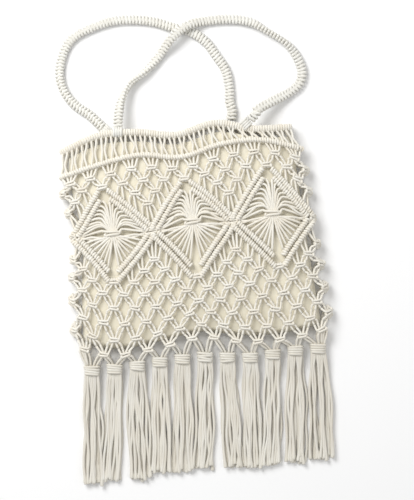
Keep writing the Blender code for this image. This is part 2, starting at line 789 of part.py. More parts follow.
def build():
    clear_scene()
    cord = material("knotted_cotton_cord", (0.78, 0.76, 0.69), 0.85)
    strap = material("sennit_cotton_cord", (0.80, 0.79, 0.74), 0.80)
    cloth = material("lining_cotton", (0.74, 0.71, 0.62), 0.90)
    fringe = material("fringe_cotton_cord", (0.72, 0.70, 0.64), 0.85)
    bag = bpy.data.objects.new("macrame_bag", None)
    bpy.context.scene.collection.objects.link(bag)
    pieces = [lining(cloth)]
    for side in (FRONT, BACK):
        pieces.append(net_wall(side, cord))
        pieces.append(mouth_band(side, cord))
    pieces.append(handle(BACK, BACK_HANDLE, BACK_HANDLE_ENDS, strap))
    pieces.append(handle(FRONT, FRONT_HANDLE, FRONT_HANDLE_ENDS, strap))
    for index in range(len(TASSELS)):
        pieces.append(tassel(index, fringe))
    for piece in pieces:
        piece.parent = bag


build()
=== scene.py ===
# %% [markdown]
# # A fringed macrame bag
# The bag lies flat on its back and is seen from straight above. Everything that shows on it is
# cotton cord, so almost every piece here is a set of tubes that follow the path of a real cord
# through a real knot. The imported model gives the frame, and each piece is laid over its solid.

# %% Load the frame
import functools
import math
import random

import bmesh
import bpy
import numpy as np
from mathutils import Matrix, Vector


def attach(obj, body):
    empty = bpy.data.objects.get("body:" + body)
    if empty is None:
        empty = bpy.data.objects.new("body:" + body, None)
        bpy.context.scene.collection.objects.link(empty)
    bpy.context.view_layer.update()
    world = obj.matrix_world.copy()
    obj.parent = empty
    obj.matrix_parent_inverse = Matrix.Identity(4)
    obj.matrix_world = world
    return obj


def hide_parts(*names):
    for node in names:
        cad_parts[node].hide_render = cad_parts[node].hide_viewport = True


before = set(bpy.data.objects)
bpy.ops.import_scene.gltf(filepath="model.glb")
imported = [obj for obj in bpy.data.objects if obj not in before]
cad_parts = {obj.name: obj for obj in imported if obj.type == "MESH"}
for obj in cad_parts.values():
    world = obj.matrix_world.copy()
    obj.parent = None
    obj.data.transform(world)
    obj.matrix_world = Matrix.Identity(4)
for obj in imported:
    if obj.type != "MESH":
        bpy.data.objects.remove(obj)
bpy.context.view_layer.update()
rng = random.Random(7)
print("frame loaded:", len(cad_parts), "solids")

# %% [markdown]
# ## Camera
# The photograph looks straight down. A long lens far above the bag keeps the near and far parts at
# the same scale, as it does there. The long side of the picture takes in about 600 mm.

# %% Camera
SEEN_HEIGHT = 0.600
CAMERA_HEIGHT = 1.9
BAG_PLANE = 0.012
camera_data = bpy.data.cameras.new("camera")
camera_data.sensor_width = 36
camera_data.lens = 36 * (CAMERA_HEIGHT - BAG_PLANE) / SEEN_HEIGHT
camera = bpy.data.objects.new("camera", camera_data)
camera.location = (0.015, -0.001, CAMERA_HEIGHT)
bpy.context.scene.collection.objects.link(camera)
bpy.context.scene.camera = camera
print("lens", round(camera_data.lens, 1), "mm")

# %% [markdown]
# ## The lattice that the bag is knotted on
# A net of square knots is a lattice: one column for each knot, half a repeat for each row. The
# cloth lies unevenly, so a short table says where each level of the bag lies, and a smooth curve
# joins the levels. Every cord is then placed by column and row, and follows the bag's shape.

# %% Lattice
BAG_WIDTH = 0.300
BAG_HEIGHT = 0.271
BAG_DEPTH = 0.030
NET_WALL = 0.007
FITTING_GAP = 0.0003
BAND_THICK = 0.0080
BAND_WIDTH = 0.0090
HANDLE_WIDTH = 0.0120
HANDLE_THICK = 0.0080
HANDLE_REACH = 0.145
TASSEL_LENGTH = 0.136
TASSEL_LINE_Y = -(0.944 * BAG_HEIGHT + 0.953 * HANDLE_REACH + HANDLE_WIDTH / 2 - TASSEL_LENGTH) / 2
FRONT, BACK = "front", "back"
MIDDLE_COLUMN, HALF_COLUMNS = 5.5, 6.0
FIRST_COLUMN, LAST_COLUMN = -0.5, 11.5
BAND_ROW, JOINT_ROW, TASSEL_ROW = 2.0, 8.5, 19.0
DIAMOND_TOP_ROW, DIAMOND_FOOT_ROW = 4.3, 13.1
DIAMOND_COLUMNS = (1.5, 5.5, 9.5)
DIAMOND_HALF_SPAN = 2.0
PITCH = BAG_WIDTH / (2 * HALF_COLUMNS)
ROW_STEP = BAG_HEIGHT / TASSEL_ROW
MM = 0.001

STATIONS = (-0.5, 1.5, 3.5, 5.5, 7.5, 9.5, 11.5)
# columns: row, middle, pitch, edge, lift, then the height at each station
LEVELS = (
    (0.0, -0.074, 0.920, 1.00, 0.80, 0.912, 0.988, 1.002, 0.991, 1.043, 1.018, 1.026),
    (2.0, -0.055, 0.966, 1.00, 0.82, 0.801, 0.859, 0.902, 0.892, 0.950, 0.968, 0.928),
    (4.0, -0.041, 0.978, 0.90, 0.83, 0.730, 0.761, 0.792, 0.799, 0.839, 0.860, 0.836),
    (8.5, -0.006, 0.955, 0.95, 0.83, 0.535, 0.557, 0.566, 0.611, 0.610, 0.646, 0.626),
    (14.0, 0.012, 1.003, 0.95, 0.81, 0.314, 0.291, 0.291, 0.314, 0.330, 0.358, 0.372),
    (18.0, 0.034, 1.056, 0.75, 0.58, 0.058, 0.018, 0.055, 0.100, 0.080, 0.097, 0.146),
    (19.0, 0.042, 1.087, 0.55, 0.46, -0.056, -0.044, -0.013, 0.009, 0.007, 0.038, 0.053),
)
LEVEL_ROWS = [line[0] for line in LEVELS]
LEVEL_VALUES = np.array(LEVELS)


def smooth(stations, values, at):
    """The value at a place between stations, on a curve through all of them."""
    last = len(stations) - 1
    i = min(max(sum(s <= at for s in stations) - 1, 0), last - 1)
    step = stations[i + 1] - stations[i]
    before, after = max(i - 1, 0), min(i + 2, last)
    slope_in = (values[i + 1] - values[before]) / (stations[i + 1] - stations[before])
    slope_out = (values[after] - values[i]) / (stations[after] - stations[i])
    t = (at - stations[i]) / step
    return (
        values[i] * (1 + 2 * t) * (1 - t) ** 2
        + values[i + 1] * t * t * (3 - 2 * t)
        + step * (slope_in * t * (1 - t) ** 2 - slope_out * t * t * (1 - t))
    )


@functools.lru_cache(maxsize=None)
def level(row):
    """The table's line for any row."""
    return smooth(LEVEL_ROWS, LEVEL_VALUES, row)


@functools.lru_cache(maxsize=None)
def net_point(column, row, side):
    """Where a lattice place lies, in the middle of a wall's thickness."""
    at = level(row)
    share = min(abs(column - MIDDLE_COLUMN) / HALF_COLUMNS, 1.0)
    crown = BAG_DEPTH * at[4]
    thick = NET_WALL + (BAND_THICK - NET_WALL) * min(max(1.6 - row, 0.0), 1.0) + FITTING_GAP
    seam = max(thick, 0.49 * crown)
    if side == FRONT:
        edge = seam + thick / 2
        z = edge + (crown - edge) * math.sqrt(1 - share**6)
    else:
        edge = seam - thick / 2
        z = NET_WALL / 2 + (edge - NET_WALL / 2) * share**20
    off = min(max(column, FIRST_COLUMN), LAST_COLUMN) - MIDDLE_COLUMN
    inner = min(max(off, 1 - HALF_COLUMNS), HALF_COLUMNS - 1)
    x = BAG_WIDTH * at[1] + PITCH * at[2] * (inner + at[3] * (off - inner))
    y = TASSEL_LINE_Y + BAG_HEIGHT * smooth(STATIONS, at[5:], off + MIDDLE_COLUMN)
    return np.array((x, y, z))


def unit(vector):
    """The same direction, one metre long."""
    return vector / np.linalg.norm(vector)


@functools.lru_cache(maxsize=None)
def seat(column, row, side):
    """A lattice place and the directions to the right, down the bag and out of the wall there."""
    step = 0.06
    column = min(max(column, FIRST_COLUMN), LAST_COLUMN)
    to_left, to_right = max(column - step, FIRST_COLUMN), min(column + step, LAST_COLUMN)
    right = net_point(to_right, row, side) - net_point(to_left, row, side)
    down = net_point(column, row + step, side) - net_point(column, row - step, side)
    out = unit(np.cross(down, right))
    right = unit(right)
    down = np.cross(right, out)
    return net_point(column, row, side), right, down, out if side == FRONT else -out


PRESSED = 0.42  # the table presses the cords of the back wall flat


def on_wall(column, row, side, out=0.0, right=0.0, down=0.0):
    """A point by lattice place, moved by millimetres out of the wall, to the right and down."""
    if side == BACK and out > 0:
        out *= PRESSED
    origin, to_right, to_down, to_out = seat(round(column, 4), round(row, 4), side)
    return origin + MM * (to_right * right + to_down * down + to_out * out)


print("bag drawn on", int(2 * HALF_COLUMNS), "columns and", int(TASSEL_ROW), "rows")

# %% [markdown]
# ## Cotton cord
# The cord is loosely twisted natural cotton, about 3 mm across where it is pulled tight. A curve
# with a round bevel is Blender's own way to make a tube, so each set of cords is one curve object
# turned into a mesh. The tube then gets a UV map in real millimetres along the cord, so that the
# twist has the same pitch on a short loop and on a long strand.

# %% Cord tubes
CORD_RADIUS = 1.45  # millimetres


def flowing(points, radius=CORD_RADIUS, per=3):
    """A smooth run through a few points, each (x, y, z) in metres, with a radius for each."""
    points = np.asarray(points, float)
    count = len(points)
    radii = np.full(count, radius) if np.isscalar(radius) else np.asarray(radius, float)
    table = np.column_stack((points, radii))
    padded = np.vstack((2 * table[0] - table[1], table, 2 * table[-1] - table[-2]))
    steps = np.linspace(0, 1, per, endpoint=False)[:, None]
    parts = []
    for i in range(count - 1):
        a, b, c, d = padded[i : i + 4]
        slope = (c - a) * steps
        bend = (2 * a - 5 * b + 4 * c - d) * steps**2
        twist = (3 * b - a - 3 * c + d) * steps**3
        parts.append(0.5 * (2 * b + slope + bend + twist))
    parts.append(table[-1:])
    return np.vstack(parts)


def lengths_along(points):
    """How far along a run each of its points lies."""
    steps = np.linalg.norm(np.diff(points, axis=0), axis=1)
    return np.concatenate(([0.0], np.cumsum(steps)))


def place_at(points, lengths, at):
    """The point that lies so far along a run."""
    return np.array([np.interp(at, lengths, points[:, axis]) for axis in range(3)])


def cord_mesh(name, runs, sides=6):
    """All the runs as one mesh of round tubes with closed ends."""
    curve = bpy.data.curves.new(name, "CURVE")
    curve.dimensions = "3D"
    curve.bevel_depth = MM
    curve.bevel_resolution = (sides - 4) // 2
    curve.twist_mode = "MINIMUM"
    for run in runs:
        spline = curve.splines.new("POLY")
        spline.points.add(len(run) - 1)
        spline.points.foreach_set("co", np.column_stack((run[:, :3], np.ones(len(run)))).ravel())
        spline.points.foreach_set("radius", run[:, 3])
    holder = bpy.data.objects.new(name + "_curve", curve)
    bpy.context.scene.collection.objects.link(holder)
    bpy.context.view_layer.update()
    evaluated = holder.evaluated_get(bpy.context.evaluated_depsgraph_get())
    mesh = bpy.data.meshes.new_from_object(evaluated)
    bpy.data.objects.remove(holder)
    mesh.name = name
    tubes = bmesh.new()
    tubes.from_mesh(mesh)
    bmesh.ops.holes_fill(tubes, edges=[edge for edge in tubes.edges if edge.is_boundary], sides=sides)
    tubes.to_mesh(mesh)
    tubes.free()
    return mesh


def measure_cords(mesh, runs, sides):
    """Writes the UV map, along and round each cord in real sizes, and a shade for each cord."""
    along, shade = [], []
    for run in runs:
        along.append(np.repeat(lengths_along(run[:, :3]) + rng.random(), sides))
        shade.append(np.full(len(run) * sides, rng.random()))
    along, shade = np.concatenate(along), np.concatenate(shade)
    if len(along) != len(mesh.vertices):
        raise ValueError(f"{mesh.name}: {len(along)} places for {len(mesh.vertices)} vertices")
    corners = np.empty(len(mesh.loops), np.int64)
    mesh.loops.foreach_get("vertex_index", corners)
    starts = np.empty(len(mesh.polygons), np.int64)
    totals = np.empty(len(mesh.polygons), np.int64)
    mesh.polygons.foreach_get("loop_start", starts)
    mesh.polygons.foreach_get("loop_total", totals)
    face = np.repeat(np.arange(len(starts)), totals)
    turn = (corners % sides) / sides
    wraps = np.zeros(len(starts), bool)
    np.logical_or.at(wraps, face, turn > 1 - 1.5 / sides)
    turn = np.where((turn == 0) & wraps[face], 1.0, turn)
    layer = mesh.uv_layers.active or mesh.uv_layers.new(name="UVMap")
    layer.data.foreach_set("uv", np.column_stack((along[corners], turn)).astype(np.float32).ravel())
    tint = mesh.attributes.new("shade", "FLOAT", "POINT")
    tint.data.foreach_set("value", shade.astype(np.float32))


def cord_piece(name, runs, finish, nodes=(), sides=6):
    """A set of cords as a finished piece of the bag."""
    mesh = cord_mesh(name, runs, sides)
    measure_cords(mesh, runs, sides)
    mesh.materials.clear()
    mesh.materials.append(finish)
    mesh.shade_smooth()
    piece = bpy.data.objects.new(name, mesh)
    bpy.context.scene.collection.objects.link(piece)
    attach(piece, "root")
    if nodes:
        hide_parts(*nodes)
    triangles = sum(len(p.vertices) - 2 for p in mesh.polygons)
    print(name, len(runs), "cords", triangles, "triangles")
    return piece


# %% [markdown]
# ## Finishes
# Undyed cotton is a warm off-white and quite matt, with a soft sheen from its loose fibres. The
# cord's twist shows as fine slanting yarns, and the fuzz as a much finer grain. Both are bump. The
# yarns are drawn a little coarser than real, because a real yarn is finer than a pixel here.

# %% Node helper and colours


def linear(colour):
    """An sRGB hex colour as the linear numbers that a shader needs."""
    values = [int(colour[i : i + 2], 16) / 255 for i in (1, 3, 5)]
    return [v / 12.92 if v <= 0.04045 else ((v + 0.055) / 1.055) ** 2.4 for v in values] + [1.0]


def add(tree, kind, values=(), links=(), **settings):
    """Adds one node with its settings, socket values and incoming links."""
    node = tree.nodes.new(kind)
    for name, value in settings.items():
        setattr(node, name, value)
    for socket, value in values:
        node.inputs[socket].default_value = value
    for socket, source in links:
        tree.links.new(source, node.inputs[socket])
    return node


MIX_WARM, MIX_LIGHT, MIX_RESULT = 6, 7, 2  # the colour sockets of a Mix node


def new_material(name):
    """A material with an empty node tree."""
    made = bpy.data.materials.new(name)
    made.use_nodes = True
    made.node_tree.nodes.clear()
    return made, made.node_tree


# %% [markdown]
# The cord's bump is a sine wave across the yarns. Its phase grows round the cord and along it, so
# the yarns climb as they do in a real twist. Each cord takes a slightly different shade, and slow
# noise adds the patchy warmth that undyed cotton has.

# %% Twisted cotton cord


def twisted_cotton(name, light, warm, yarn=1.1, twist=11.0, fuzz=0.35):
    """Natural cotton cord. yarn is the width of a yarn and twist the length of a turn, in millimetres."""
    made, tree = new_material(name)
    uv = add(tree, "ShaderNodeUVMap", uv_map="UVMap")
    split = add(tree, "ShaderNodeSeparateXYZ", links=[("Vector", uv.outputs["UV"])])
    turns = add(tree, "ShaderNodeMath", [(1, 1000 / twist)], [(0, split.outputs["X"])], operation="MULTIPLY")
    climb = [(0, split.outputs["Y"]), (1, turns.outputs[0])]
    lean = add(tree, "ShaderNodeMath", links=climb, operation="ADD")
    yarns = round(2 * math.pi * CORD_RADIUS / yarn)
    round_cord = 2 * math.pi * yarns
    phase = add(tree, "ShaderNodeMath", [(1, round_cord)], [(0, lean.outputs[0])], operation="MULTIPLY")
    wave = add(tree, "ShaderNodeMath", links=[(0, phase.outputs[0])], operation="SINE")
    place = add(tree, "ShaderNodeTexCoord")
    fluff = add(
        tree,
        "ShaderNodeTexNoise",
        [("Scale", 1400.0), ("Detail", 3.0), ("Roughness", 0.6)],
        [("Vector", place.outputs["Object"])],
    )
    patches = add(
        tree, "ShaderNodeTexNoise", [("Scale", 45.0), ("Detail", 2.0)], [("Vector", place.outputs["Object"])]
    )
    shade = add(tree, "ShaderNodeAttribute", attribute_name="shade")
    both = add(
        tree, "ShaderNodeMath", [(1, 0.55)], [(0, shade.outputs["Fac"]), (2, patches.outputs["Fac"])],
        operation="MULTIPLY_ADD",
    )
    spread = add(
        tree, "ShaderNodeMapRange",
        [("From Min", 0.25), ("From Max", 1.25)], [("Value", both.outputs[0])],
    )
    tone = add(
        tree, "ShaderNodeMix", [(MIX_WARM, linear(warm)), (MIX_LIGHT, linear(light))],
        [("Factor", spread.outputs["Result"])], data_type="RGBA",
    )
    height = add(
        tree, "ShaderNodeMath", [(1, fuzz)], [(0, fluff.outputs["Fac"]), (2, wave.outputs[0])],
        operation="MULTIPLY_ADD",
    )
    bump = add(
        tree, "ShaderNodeBump", [("Strength", 0.45), ("Distance", 0.00018)], [("Height", height.outputs[0])]
    )
    shader = add(
        tree,
        "ShaderNodeBsdfPrincipled",
        [("Roughness", 0.88), ("IOR", 1.5), ("Sheen Weight", 0.25), ("Sheen Roughness", 0.45)],
        [("Base Color", tone.outputs[MIX_RESULT]), ("Normal", bump.outputs["Normal"])],
    )
    add(tree, "ShaderNodeOutputMaterial", links=[("Surface", shader.outputs["BSDF"])])
    return made


knot_cotton = twisted_cotton("twisted_cotton_net", "#f4f1e8", "#ece5d6")
handle_cotton = twisted_cotton("twisted_cotton_handles", "#f1f0ea", "#e8e5dc")
# The fringe cord's two colours are darker and browner than the net's. This is painted shade on the tassels,
# not a different cotton.
fringe_cotton_painted_shade = twisted_cotton("twisted_cotton_fringe_painted_shade", "#ebe8df", "#e0dacc")
print("cotton cord in", len(bpy.data.materials), "finishes so far")

# %% [markdown]
# The lining is plain-woven cotton. Two sine waves at right angles give the raised crossings of its
# threads. They are finer than a pixel from here, and still take the shine off the cloth.

# %% Plain woven cotton


def woven_cotton(name, light, warm, thread=0.6):
    """Lining cloth. thread is the spacing of its threads in millimetres."""
    made, tree = new_material(name)
    uv = add(tree, "ShaderNodeUVMap", uv_map="UVMap")
    split = add(tree, "ShaderNodeSeparateXYZ", links=[("Vector", uv.outputs["UV"])])
    waves = []
    count = 1000 * math.pi / thread
    for axis in ("X", "Y"):
        scaled = add(tree, "ShaderNodeMath", [(1, count)], [(0, split.outputs[axis])], operation="MULTIPLY")
        waves.append(add(tree, "ShaderNodeMath", links=[(0, scaled.outputs[0])], operation="SINE"))
    across, along = [wave.outputs[0] for wave in waves]
    weave = add(tree, "ShaderNodeMath", links=[(0, across), (1, along)], operation="MULTIPLY")
    place = add(tree, "ShaderNodeTexCoord")
    patches = add(
        tree, "ShaderNodeTexNoise", [("Scale", 22.0), ("Detail", 3.0)], [("Vector", place.outputs["Object"])]
    )
    tone = add(
        tree, "ShaderNodeMix", [(MIX_WARM, linear(warm)), (MIX_LIGHT, linear(light))],
        [("Factor", patches.outputs["Fac"])], data_type="RGBA",
    )
    thread_height = [("Strength", 0.3), ("Distance", 0.0001)]
    bump = add(tree, "ShaderNodeBump", thread_height, [("Height", weave.outputs[0])])
    shader = add(
        tree,
        "ShaderNodeBsdfPrincipled",
        [("Roughness", 0.92), ("IOR", 1.5), ("Sheen Weight", 0.15)],
        [("Base Color", tone.outputs[MIX_RESULT]), ("Normal", bump.outputs["Normal"])],
    )
    add(tree, "ShaderNodeOutputMaterial", links=[("Surface", shader.outputs["BSDF"])])
    return made


lining_cotton = woven_cotton("plain_woven_cotton", "#f3eede", "#ebe4cf")
print("lining cloth ready")

# %% [markdown]
# ## Square knots
# A flat square knot ties two working cords round two core cords. The left cord crosses in front to
# the right, then back to the left. The right cord passes behind the core each time and comes up
# through the loop at the other end. From above you see two short bars with a small upright loop at
# one end of each. The two tables give these paths in millimetres from the knot's middle.

# %% Square knots
# columns: right, down, out
LEFT_CORD = (
    (-4.4, -4.8, 0.2),
    (-5.5, -3.2, 1.0),
    (-4.2, -2.0, 2.2),
    (0.0, -1.7, 3.1),
    (4.0, -1.5, 2.3),
    (5.4, -0.1, 0.6),
    (4.0, 1.2, 2.2),
    (0.0, 1.6, 3.1),
    (-4.0, 2.0, 2.3),
    (-5.9, 3.0, 1.0),
)
RIGHT_CORD = (
    (4.4, -4.8, 0.4),
    (5.8, -3.5, 1.5),
    (5.6, -1.7, 2.9),
    (5.0, -0.3, 1.3),
    (3.2, 0.0, -1.5),
    (0.0, 0.0, -2.2),
    (-3.2, 0.0, -1.5),
    (-5.2, 0.3, 1.2),
    (-5.8, 1.7, 2.9),
    (-4.9, 2.8, 1.4),
    (-2.6, 3.2, -1.2),
    (0.0, 3.2, -2.0),
    (2.8, 3.1, -1.2),
    (5.7, 3.1, 0.6),
)
CORE_CORDS = (-1.6, 1.6)
LINK_SPREAD = 2.5  # half the distance between the two cords of a link
KNOT_RELIEF = {FRONT: 0.8, BACK: 0.5}  # the back wall's knots are pressed flat by the bag
BORDER_GAP = 0.45  # rows between the middle of a diamond's border and the ends of the links

# each row of the lattice, and the columns that have a knot in it
UPPER_KNOTS = {
    3: range(0, 12),
    4: np.arange(-0.5, 12),
    5: (0, 3, 4, 7, 8, 11),
    6: (-0.5, 3.5, 7.5, 11.5),
}
JOINT_KNOTS = {8.5: (-0.5, 3.5, 7.5, 11.5)}
LOWER_KNOTS = {
    11: (-0.5, 3.5, 7.5, 11.5),
    12: (0, 3, 4, 7, 8, 11),
    13: np.arange(-0.5, 12),
    14: range(0, 12),
    15: np.arange(-0.5, 12),
    16: range(0, 12),
    17: np.arange(-0.5, 12),
    18: range(0, 12),
}
KNOT_ROWS = UPPER_KNOTS | JOINT_KNOTS | LOWER_KNOTS
KNOTS = {(float(column), float(row)) for row, columns in KNOT_ROWS.items() for column in columns}
FIRST_KNOT_ROW, LAST_KNOT_ROW = min(KNOT_ROWS), max(KNOT_ROWS)


def border_row(column, upper):
    """The row of a diamond's border at a column, on the side that faces away from the diamond."""
    centre = min(DIAMOND_COLUMNS, key=lambda c: abs(c - column))
    share = min(abs(column - centre) / DIAMOND_HALF_SPAN, 1.0)
    if upper:
        return DIAMOND_TOP_ROW + share * (JOINT_ROW - DIAMOND_TOP_ROW) - BORDER_GAP
    return DIAMOND_FOOT_ROW - share * (DIAMOND_FOOT_ROW - JOINT_ROW) + BORDER_GAP


def tassel_knot(index):
    """The middle of a tassel's gathering knot on the floor plan."""
    point = net_point(index + 0.5, TASSEL_ROW, FRONT).copy()
    point[2] = 0.0
    return point


def tassel_top(column, place, side):
    """Where a cord from the last row of knots enters its tassel."""
    target = column + (-0.5 if place < 2 else 0.5)
    index = int(round(min(max(target, 0.5), 10.5) - 0.5))
    offset = (1.4, 4.4, -4.4, -1.4)[place]
    if target < 0.5:
        offset = -6.5 + 1.6 * place
    if target > 10.5:
        offset = 5.0 + 1.6 * (place - 2)
    return tassel_knot(index) + MM * np.array((offset, 4.2, 9.6 if side == FRONT else 4.6))


def link_end(column, row, across, below, place, side):
    """Where one cord of a link ends: halfway to the next knot, or on the ridge that it is tied to."""
    step = 1 if below else -1
    neighbour = (column + 0.5 * across, row + step)
    outer = place in (0, 3)
    if neighbour in KNOTS:
        halfway = on_wall(column + 0.25 * across, row + 0.5 * step, side, out=0.2)
        run = unit((on_wall(*neighbour, side) - on_wall(column, row, side))[:2])
        square = np.array((run[1], -run[0], 0.0)) * (1 if below else -1)
        return halfway - square * across * MM * LINK_SPREAD * (1 if outer else -1)
    natural = column + (place - 1.5) * 0.25
    if row == JOINT_ROW:
        return on_wall(column + 0.22 * across, row + (0.42 if outer else 0.55) * step, side, out=0.8)
    if below and row == LAST_KNOT_ROW:
        return tassel_top(column, place, side)
    if natural < FIRST_COLUMN or natural > LAST_COLUMN:
        return on_wall(column, row + 0.5 * step, side, out=-1.5, right=1.0 * across)
    if not below and row == FIRST_KNOT_ROW:
        return on_wall(natural, BAND_ROW + 0.15, side)
    return on_wall(natural, border_row(natural, below), side)


def square_knot(column, row, side):
    """The four cords of one knot, each from the middle of the link above to that below."""
    size = rng.uniform(0.94, 1.05)
    tilt = math.radians(rng.gauss(0, 6))
    flip = 1 if rng.random() < 0.5 else -1
    origin, right, down, out = seat(column, row, side)

    def local(u, v, h):
        u, v = flip * u * size, v * size
        u, v = u * math.cos(tilt) - v * math.sin(tilt), u * math.sin(tilt) + v * math.cos(tilt)
        return origin + MM * (right * u + down * v + out * h * KNOT_RELIEF[side])

    paths = {}
    left, other = (0, 3) if flip > 0 else (3, 0)
    paths[left] = [local(*p) for p in LEFT_CORD]
    paths[other] = [local(*p) for p in RIGHT_CORD]
    for place, u in zip((1, 2) if flip > 0 else (2, 1), CORE_CORDS):
        paths[place] = [local(u, v, 0.2) for v in (-3.4, 0.0, 3.4)]
    runs = []
    for place, path in paths.items():
        across = -1 if place < 2 else 1
        top = link_end(column, row, across, False, place, side)
        foot = link_end(column, row, across, True, place, side)
        bow = []
        if place in (0, 3) and row != JOINT_ROW:
            bow = [foot * 0.4 + path[-1] * 0.6 + right * across * MM * rng.uniform(0.5, 1.3)]
        run = [top] + path[1 if place in (0, 3) else 0 :] + bow + [foot]
        runs.append(flowing(run, CORD_RADIUS * rng.uniform(0.93, 1.0)))
    return runs


for side in (FRONT, BACK):
    runs = []
    for column, row in sorted(KNOTS):
        runs += square_knot(column, row, side)
    cord_piece(f"{side}_square_knots", runs, knot_cotton, [f"{side}_net"])

# %% [markdown]
# ## Corded ridges
# Where the pattern changes, every cord is hitched twice round a holding cord. The result is a
# raised ridge of tight loops. One loop is a short arch over the holding cord, and the ridge is a
# row of them. The band under the mouth is one such ridge, and a pair of them edges each diamond.

# %% Ridges
RIDGE_RADIUS = 1.62
HITCH_STEP = 3.0


def hitch(at, along, across, out, half_width, height, start=-35, end=215, lean=0.5, radius=RIDGE_RADIUS):
    """One loop over a holding cord. Angles are in degrees from the across direction, over the top."""
    points = []
    for angle in np.radians(np.linspace(start, end, 8)):
        points.append(
            at
            + MM * across * half_width * math.cos(angle)
            + MM * out * height * math.sin(angle)
            + MM * along * lean * math.cos(angle)
        )
    return flowing(points, radius, per=2)


def ridge(places, side, half_width, height, sunk=0.0):
    """A ridge along lattice places close together: loops all the way, over one holding cord."""
    points = np.array([on_wall(c, r, side, out=sunk) for c, r in places])
    outs = [seat(round(c, 4), round(r, 4), side)[3] for c, r in places]
    length = lengths_along(points)
    count = max(int(length[-1] / (MM * HITCH_STEP)), 2)
    runs = [flowing(points, min(half_width, height) * 0.9, per=1)]
    for i in range(count):
        at = length[-1] * (i + 0.5) / count
        middle = place_at(points, length, at)
        out = outs[min(int(np.searchsorted(length, at)), len(outs) - 1)]
        along = unit(place_at(points, length, at + 2 * MM) - place_at(points, length, at - 2 * MM))
        across = unit(np.cross(along, out))
        shift = MM * across * rng.gauss(0, 0.12)
        wide = half_width * rng.uniform(0.95, 1.05)
        tall = height * rng.uniform(0.95, 1.05)
        runs.append(hitch(middle + shift, along, across, out, wide, tall, lean=rng.uniform(0.2, 0.8)))
    return runs


def flat_of(column, row):
    """A lattice place on the net before it was laid out, in metres."""
    return np.array((column * PITCH, -row * ROW_STEP))


def border_place(centre, direction, upper, t, inward):
    """A lattice place beside a diamond's side, t of the way to the joint, inward in millimetres."""
    tip = flat_of(centre, DIAMOND_TOP_ROW if upper else DIAMOND_FOOT_ROW)
    joint = flat_of(centre + direction * DIAMOND_HALF_SPAN, JOINT_ROW)
    along = unit(joint - tip)
    normal = np.array((-along[1], along[0]))
    if np.dot(flat_of(centre, JOINT_ROW) - tip, normal) < 0:
        normal = -normal
    flat = tip + (joint - tip) * t + normal * MM * inward
    return flat[0] / PITCH, -flat[1] / ROW_STEP


# half the width of the band and borders, and how far their loops stand out, in millimetres
BAND_HALF_WIDTH, BORDER_HALF_WIDTH = 2.1, 2.15
BAND_LIFT = {FRONT: 3.2, BACK: 1.7}
BORDER_LIFT = {FRONT: 3.4, BACK: 1.7}
# the two rows of a border: millimetres inward, and the shares of a side where it starts and ends
BORDER_ROWS = ((-3.6, 0.05, 0.99), (3.6, 0.17, 0.94))

for side in (FRONT, BACK):
    band_places = [(c, BAND_ROW) for c in np.arange(FIRST_COLUMN, LAST_COLUMN + 0.01, 0.25)]
    runs = ridge(band_places, side, BAND_HALF_WIDTH, BAND_LIFT[side])
    for centre in DIAMOND_COLUMNS:
        for direction in (-1, 1):
            for upper in (True, False):
                for inward, first, last in BORDER_ROWS:
                    shares = np.linspace(first, last, 12)
                    places = [border_place(centre, direction, upper, t, inward) for t in shares]
                    runs += ridge(places, side, BORDER_HALF_WIDTH, BORDER_LIFT[side], sunk=0.3)
    cord_piece(f"{side}_corded_ridges", runs, knot_cotton)

# %% [markdown]
# ## Mouth band and the straight cords under it
# The cords hang from a thick corded band at the mouth, and run straight down in pairs to the next
# ridge. Each pair is pulled together in the middle, so the openings between pairs are lens-shaped.

# %% Mouth bands and straight cords
MOUTH_CORE_RADIUS = 2.7
MOUTH_LOOP_HEIGHT, MOUTH_LOOP_RADIUS = 2.4, 1.6
CORD_PAIRS = 24


def mouth_band(side):
    """Hitches all round the thick holding cord at the mouth, each almost a full ring."""
    centres = []
    for column in np.arange(FIRST_COLUMN, LAST_COLUMN + 0.01, 0.125):
        centre = net_point(column, 0.0, side).copy()
        centre[2] = max(centre[2], BAND_THICK / 2)
        centres.append(centre)
    centres = np.array(centres)
    length = lengths_along(centres)
    runs = [flowing(centres[::2], MOUTH_CORE_RADIUS, per=1)]
    count = int(length[-1] / (MM * HITCH_STEP))
    out = np.array((0.0, 0.0, 1.0 if side == FRONT else -1.0))
    for i in range(count):
        at = length[-1] * (i + 0.5) / count
        middle = place_at(centres, length, at)
        along = unit(place_at(centres, length, at + 3 * MM) - middle)
        across = unit(np.cross(along, out))
        wide, lean = rng.uniform(2.85, 3.1), rng.uniform(-0.3, 0.3)
        frame_of_loop = (middle, along, across, out)
        runs.append(hitch(*frame_of_loop, wide, MOUTH_LOOP_HEIGHT, -80, 260, lean, MOUTH_LOOP_RADIUS))
    return runs


def straight_cords(side):
    """The pairs of cords between the mouth and the band, each pair drawn together at its waist."""
    runs = []
    for pair in range(CORD_PAIRS):
        middle = FIRST_COLUMN + 0.25 + 0.5 * pair
        pull = rng.uniform(0.3, 0.62)
        lean = rng.gauss(0, 0.035)
        for hand in (-1, 1):
            top = on_wall(middle + 0.125 * hand, 0.15, side, out=0.5)
            high = on_wall(middle + 0.115 * hand, 0.55, side, out=1.0)
            waist = on_wall(middle + 0.125 * hand * pull + lean, 1.1, side, out=rng.uniform(0.2, 1.0))
            low = on_wall(middle + 0.118 * hand + lean * 0.4, 1.65, side, out=0.8)
            foot = on_wall(middle + 0.125 * hand, 1.95, side)
            runs.append(flowing((top, high, waist, low, foot), CORD_RADIUS * 0.95))
    return runs


for side in (FRONT, BACK):
    cord_piece(f"{side}_mouth_hitches", mouth_band(side), knot_cotton, [f"{side}_mouth_band"])
    cord_piece(f"{side}_straight_cords", straight_cords(side), knot_cotton)

# %% [markdown]
# ## Medallions
# In each diamond the cords of the two upper edges run in to the middle like rays, are gathered by
# one wide square knot, and fan out again to the lower edges. The upper rays rise a little from the
# edge, arch over and drop into the knot. The lower ones run almost straight.

